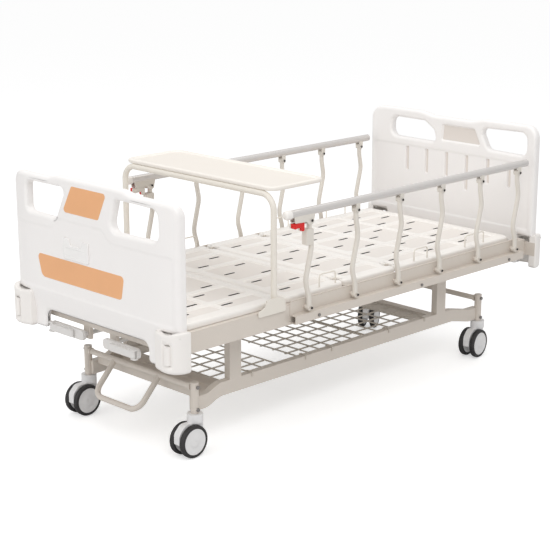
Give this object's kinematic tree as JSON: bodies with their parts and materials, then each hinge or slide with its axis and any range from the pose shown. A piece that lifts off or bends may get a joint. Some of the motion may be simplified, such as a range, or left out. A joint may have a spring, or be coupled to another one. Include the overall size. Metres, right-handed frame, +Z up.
{
  "type": "manual hospital bed",
  "caption": "Wheeled hospital bed with cranked back and knee deck, folding guard rails, boards with hand holes and an over-bed table.",
  "frame": {"origin": "on the floor under the middle of the bed", "axes": "+X runs along the bed to the head end, +Y to the right side of a patient lying on the bed seen from the foot end, +Z up"},
  "size_m": [2.216, 1.008, 1.043],
  "materials": {
    "white_enamel": "semi-gloss baked enamel on steel tube",
    "grey_wire": "satin cream coated steel wire",
    "deck_plastic": "fine satin moulded ABS",
    "channel_plastic": "satin anodised extrusion",
    "cover_plastic": "satin moulded plastic",
    "steel_bolt": "zinc plated",
    "board_plastic": "satin to gloss blow-moulded plastic",
    "orange_inlay": "satin orange laminate",
    "clear_holder": "clear plastic over a white card",
    "grey_roller": "satin roller",
    "caster_plastic": "satin light grey nylon",
    "tyre_grey": "matt dark grey polyurethane",
    "post_paint": "matt beige powder coat",
    "rail_aluminium": "satin anodised",
    "latch_red": "gloss red plastic",
    "brake_paint": "semi-gloss enamel",
    "crank_steel": "satin grey moulding",
    "grip_grey": "satin grey moulding",
    "tube_steel": "zinc plated tube",
    "table_white": "satin moulded top"
  },
  "bodies": {
    "frame": {"base_rails": "white_enamel", "base_end_arms": "white_enamel", "base_cross_beams": "white_enamel", "caster_posts": "white_enamel", "frame_columns": "white_enamel", "main_side_rails": "white_enamel", "main_cross_members": "white_enamel", "mesh_trays": "grey_wire", "seat_deck": "deck_plastic", "left_rail_channel": "channel_plastic", "right_rail_channel": "channel_plastic", "corner_covers": "cover_plastic", "frame_brackets": "white_enamel", "frame_bolts": "steel_bolt", "table_brackets": "white_enamel"},
    "back_deck": {"back_deck": "deck_plastic"},
    "thigh_deck": {"thigh_deck": "deck_plastic"},
    "calf_deck": {"calf_deck": "deck_plastic"},
    "back_crank": {"back_crank": "crank_steel"},
    "knee_crank": {"knee_crank": "crank_steel"},
    "back_crank_grip": {"back_crank_grip": "grip_grey"},
    "knee_crank_grip": {"knee_crank_grip": "grip_grey"},
    "back_push_tube": {"back_push_tube": "tube_steel"},
    "knee_push_tube": {"knee_push_tube": "tube_steel"},
    "left_guard_post_1": {"left_guard_post_1": "post_paint"},
    "left_guard_post_2": {"left_guard_post_2": "post_paint"},
    "left_guard_post_3": {"left_guard_post_3": "post_paint"},
    "left_guard_post_4": {"left_guard_post_4": "post_paint"},
    "left_guard_post_5": {"left_guard_post_5": "post_paint"},
    "left_guard_post_6": {"left_guard_post_6": "post_paint"},
    "left_handrail": {"left_handrail": "rail_aluminium"},
    "left_latch": {"left_latch_lever": "latch_red"},
    "right_guard_post_1": {"right_guard_post_1": "post_paint"},
    "right_guard_post_2": {"right_guard_post_2": "post_paint"},
    "right_guard_post_3": {"right_guard_post_3": "post_paint"},
    "right_guard_post_4": {"right_guard_post_4": "post_paint"},
    "right_guard_post_5": {"right_guard_post_5": "post_paint"},
    "right_guard_post_6": {"right_guard_post_6": "post_paint"},
    "right_handrail": {"right_handrail": "rail_aluminium"},
    "right_latch": {"right_latch_lever": "latch_red"},
    "foot_left_caster": {"foot_left_caster_fork": "caster_plastic"},
    "foot_left_wheels": {"foot_left_wheels": "tyre_grey"},
    "foot_right_caster": {"foot_right_caster_fork": "caster_plastic"},
    "foot_right_wheels": {"foot_right_wheels": "tyre_grey"},
    "head_left_caster": {"head_left_caster_fork": "caster_plastic"},
    "head_left_wheels": {"head_left_wheels": "tyre_grey"},
    "head_right_caster": {"head_right_caster_fork": "caster_plastic"},
    "head_right_wheels": {"head_right_wheels": "tyre_grey"},
    "foot_brake_bar": {"foot_brake_bar": "brake_paint"},
    "head_brake_bar": {"head_brake_bar": "brake_paint"},
    "foot_left_bumper": {"foot_left_bumper": "grey_roller"},
    "foot_right_bumper": {"foot_right_bumper": "grey_roller"},
    "head_left_bumper": {"head_left_bumper": "grey_roller"},
    "head_right_bumper": {"head_right_bumper": "grey_roller"},
    "table": {"table_frame": "white_enamel", "table_top": "table_white"},
    "footboard": {"footboard_panel": "board_plastic", "footboard_inlays": "orange_inlay", "card_holder": "clear_holder"},
    "headboard": {"headboard_panel": "board_plastic"}
  },
  "joints": [
    {"name": "back_hinge", "type": "hinge", "parent": "frame", "child": "back_deck", "pos_m": [0.178, 0, 0.5533], "axis": [0, -1, 0], "range_deg": [0, 75]},
    {"name": "thigh_hinge", "type": "hinge", "parent": "frame", "child": "thigh_deck", "pos_m": [-0.138, 0, 0.5533], "axis": [0, 1, 0], "range_deg": [0, 40]},
    {"name": "knee_hinge", "type": "hinge", "parent": "thigh_deck", "child": "calf_deck", "pos_m": [-0.48, 0, 0.5213], "axis": [0, 1, 0], "range_deg": [-64, 0]},
    {"name": "back_crank_turn", "type": "hinge", "parent": "frame", "child": "back_crank", "pos_m": [-1.042, 0.11, 0.415], "axis": [-1, 0, 0], "range_deg": [0, 90]},
    {"name": "knee_crank_turn", "type": "hinge", "parent": "frame", "child": "knee_crank", "pos_m": [-1.042, -0.05, 0.415], "axis": [1, 0, 0], "range_deg": [0, 90]},
    {"name": "back_grip_fold", "type": "hinge", "parent": "back_crank", "child": "back_crank_grip", "pos_m": [-1.0635, 0.28, 0.415], "axis": [0, 0, -1], "range_deg": [0, 90]},
    {"name": "knee_grip_fold", "type": "hinge", "parent": "knee_crank", "child": "knee_crank_grip", "pos_m": [-1.0635, -0.22, 0.415], "axis": [0, 0, 1], "range_deg": [0, 90]},
    {"name": "back_push_tube_slide", "type": "slide", "parent": "frame", "child": "back_push_tube", "axis": [1, 0, 0], "range_m": [0, 0.18264]},
    {"name": "knee_push_tube_slide", "type": "slide", "parent": "frame", "child": "knee_push_tube", "axis": [-1, 0, 0], "range_m": [0, 0.10262]},
    {"name": "left_guard_post_1_pivot", "type": "hinge", "parent": "frame", "child": "left_guard_post_1", "pos_m": [-0.3955, -0.467, 0.5095], "axis": [0, -1, 0], "range_deg": [0, 80]},
    {"name": "left_guard_post_2_pivot", "type": "hinge", "parent": "frame", "child": "left_guard_post_2", "pos_m": [-0.1327, -0.467, 0.5095], "axis": [0, -1, 0], "range_deg": [0, 80]},
    {"name": "left_guard_post_3_pivot", "type": "hinge", "parent": "frame", "child": "left_guard_post_3", "pos_m": [0.1301, -0.467, 0.5095], "axis": [0, -1, 0], "range_deg": [0, 80]},
    {"name": "left_guard_post_4_pivot", "type": "hinge", "parent": "frame", "child": "left_guard_post_4", "pos_m": [0.3929, -0.467, 0.5095], "axis": [0, -1, 0], "range_deg": [0, 80]},
    {"name": "left_guard_post_5_pivot", "type": "hinge", "parent": "frame", "child": "left_guard_post_5", "pos_m": [0.6557, -0.467, 0.5095], "axis": [0, -1, 0], "range_deg": [0, 80]},
    {"name": "left_guard_post_6_pivot", "type": "hinge", "parent": "frame", "child": "left_guard_post_6", "pos_m": [0.9185, -0.467, 0.5095], "axis": [0, -1, 0], "range_deg": [0, 80]},
    {"name": "left_handrail_pivot", "type": "hinge", "parent": "left_guard_post_1", "child": "left_handrail", "pos_m": [-0.3955, -0.467, 0.8535], "axis": [0, -1, 0], "range_deg": [-80, 0]},
    {"name": "left_latch_pull", "type": "hinge", "parent": "left_handrail", "child": "left_latch", "pos_m": [-0.4555, -0.467, 0.8615], "axis": [0, 1, 0], "range_deg": [0, 20], "stiffness_Nm_per_rad": 1, "springref_deg": -6.88},
    {"name": "right_guard_post_1_pivot", "type": "hinge", "parent": "frame", "child": "right_guard_post_1", "pos_m": [-0.3955, 0.467, 0.5095], "axis": [0, -1, 0], "range_deg": [0, 80]},
    {"name": "right_guard_post_2_pivot", "type": "hinge", "parent": "frame", "child": "right_guard_post_2", "pos_m": [-0.1327, 0.467, 0.5095], "axis": [0, -1, 0], "range_deg": [0, 80]},
    {"name": "right_guard_post_3_pivot", "type": "hinge", "parent": "frame", "child": "right_guard_post_3", "pos_m": [0.1301, 0.467, 0.5095], "axis": [0, -1, 0], "range_deg": [0, 80]},
    {"name": "right_guard_post_4_pivot", "type": "hinge", "parent": "frame", "child": "right_guard_post_4", "pos_m": [0.3929, 0.467, 0.5095], "axis": [0, -1, 0], "range_deg": [0, 80]},
    {"name": "right_guard_post_5_pivot", "type": "hinge", "parent": "frame", "child": "right_guard_post_5", "pos_m": [0.6557, 0.467, 0.5095], "axis": [0, -1, 0], "range_deg": [0, 80]},
    {"name": "right_guard_post_6_pivot", "type": "hinge", "parent": "frame", "child": "right_guard_post_6", "pos_m": [0.9185, 0.467, 0.5095], "axis": [0, -1, 0], "range_deg": [0, 80]},
    {"name": "right_handrail_pivot", "type": "hinge", "parent": "right_guard_post_1", "child": "right_handrail", "pos_m": [-0.3955, 0.467, 0.8535], "axis": [0, -1, 0], "range_deg": [-80, 0]},
    {"name": "right_latch_pull", "type": "hinge", "parent": "right_handrail", "child": "right_latch", "pos_m": [-0.4555, 0.467, 0.8615], "axis": [0, 1, 0], "range_deg": [0, 20], "stiffness_Nm_per_rad": 1, "springref_deg": -6.88},
    {"name": "foot_left_swivel", "type": "hinge", "parent": "frame", "child": "foot_left_caster", "pos_m": [-0.859, -0.3225, 0.2], "axis": [0, 0, 1], "continuous": true},
    {"name": "foot_left_roll", "type": "hinge", "parent": "foot_left_caster", "child": "foot_left_wheels", "pos_m": [-0.893, -0.3225, 0.064], "axis": [0, 1, 0], "continuous": true},
    {"name": "foot_right_swivel", "type": "hinge", "parent": "frame", "child": "foot_right_caster", "pos_m": [-0.859, 0.3225, 0.2], "axis": [0, 0, 1], "continuous": true},
    {"name": "foot_right_roll", "type": "hinge", "parent": "foot_right_caster", "child": "foot_right_wheels", "pos_m": [-0.893, 0.3225, 0.064], "axis": [0, 1, 0], "continuous": true},
    {"name": "head_left_swivel", "type": "hinge", "parent": "frame", "child": "head_left_caster", "pos_m": [0.859, -0.3225, 0.2], "axis": [0, 0, 1], "continuous": true},
    {"name": "head_left_roll", "type": "hinge", "parent": "head_left_caster", "child": "head_left_wheels", "pos_m": [0.82525, -0.32664, 0.064], "axis": [-0.1219, 0.9925, 0], "continuous": true},
    {"name": "head_right_swivel", "type": "hinge", "parent": "frame", "child": "head_right_caster", "pos_m": [0.859, 0.3225, 0.2], "axis": [0, 0, 1], "continuous": true},
    {"name": "head_right_roll", "type": "hinge", "parent": "head_right_caster", "child": "head_right_wheels", "pos_m": [0.82844, 0.3076, 0.064], "axis": [-0.4384, 0.8988, 0], "continuous": true},
    {"name": "foot_brake_turn", "type": "hinge", "parent": "frame", "child": "foot_brake_bar", "pos_m": [-0.859, 0, 0.262], "axis": [0, -1, 0], "range_deg": [-15, 15]},
    {"name": "head_brake_turn", "type": "hinge", "parent": "frame", "child": "head_brake_bar", "pos_m": [0.859, 0, 0.262], "axis": [0, -1, 0], "range_deg": [-15, 15]},
    {"name": "foot_left_bumper_spin", "type": "hinge", "parent": "frame", "child": "foot_left_bumper", "pos_m": [-1.095, -0.45, 0.471], "axis": [0, 0, 1], "continuous": true},
    {"name": "foot_right_bumper_spin", "type": "hinge", "parent": "frame", "child": "foot_right_bumper", "pos_m": [-1.095, 0.45, 0.471], "axis": [0, 0, 1], "continuous": true},
    {"name": "head_left_bumper_spin", "type": "hinge", "parent": "frame", "child": "head_left_bumper", "pos_m": [1.095, -0.45, 0.471], "axis": [0, 0, 1], "continuous": true},
    {"name": "head_right_bumper_spin", "type": "hinge", "parent": "frame", "child": "head_right_bumper", "pos_m": [1.095, 0.45, 0.471], "axis": [0, 0, 1], "continuous": true},
    {"name": "table_lift", "type": "slide", "parent": "frame", "child": "table", "axis": [0, 0, 1], "range_m": [0, 0.2]},
    {"name": "footboard_lift", "type": "slide", "parent": "frame", "child": "footboard", "axis": [0, 0, 1], "range_m": [0, 0.15]},
    {"name": "headboard_lift", "type": "slide", "parent": "frame", "child": "headboard", "axis": [0, 0, 1], "range_m": [0, 0.15]}
  ],
  "couplings": [
    {"joint": "knee_hinge", "follows": "thigh_hinge", "ratio": -1.6},
    {"joint": "back_crank_turn", "follows": "back_hinge", "ratio": 1.2},
    {"joint": "knee_crank_turn", "follows": "thigh_hinge", "ratio": 2.25},
    {"joint": "back_push_tube_slide", "follows": "back_hinge", "m_per_rad": 0.13952},
    {"joint": "knee_push_tube_slide", "follows": "thigh_hinge", "m_per_rad": 0.14697},
    {"joint": "left_guard_post_2_pivot", "follows": "left_guard_post_1_pivot", "ratio": 1},
    {"joint": "left_guard_post_3_pivot", "follows": "left_guard_post_1_pivot", "ratio": 1},
    {"joint": "left_guard_post_4_pivot", "follows": "left_guard_post_1_pivot", "ratio": 1},
    {"joint": "left_guard_post_5_pivot", "follows": "left_guard_post_1_pivot", "ratio": 1},
    {"joint": "left_guard_post_6_pivot", "follows": "left_guard_post_1_pivot", "ratio": 1},
    {"joint": "left_handrail_pivot", "follows": "left_guard_post_1_pivot", "ratio": -1},
    {"joint": "right_guard_post_2_pivot", "follows": "right_guard_post_1_pivot", "ratio": 1},
    {"joint": "right_guard_post_3_pivot", "follows": "right_guard_post_1_pivot", "ratio": 1},
    {"joint": "right_guard_post_4_pivot", "follows": "right_guard_post_1_pivot", "ratio": 1},
    {"joint": "right_guard_post_5_pivot", "follows": "right_guard_post_1_pivot", "ratio": 1},
    {"joint": "right_guard_post_6_pivot", "follows": "right_guard_post_1_pivot", "ratio": 1},
    {"joint": "right_handrail_pivot", "follows": "right_guard_post_1_pivot", "ratio": -1},
    {"joint": "head_brake_turn", "follows": "foot_brake_turn", "ratio": 1}
  ]
}
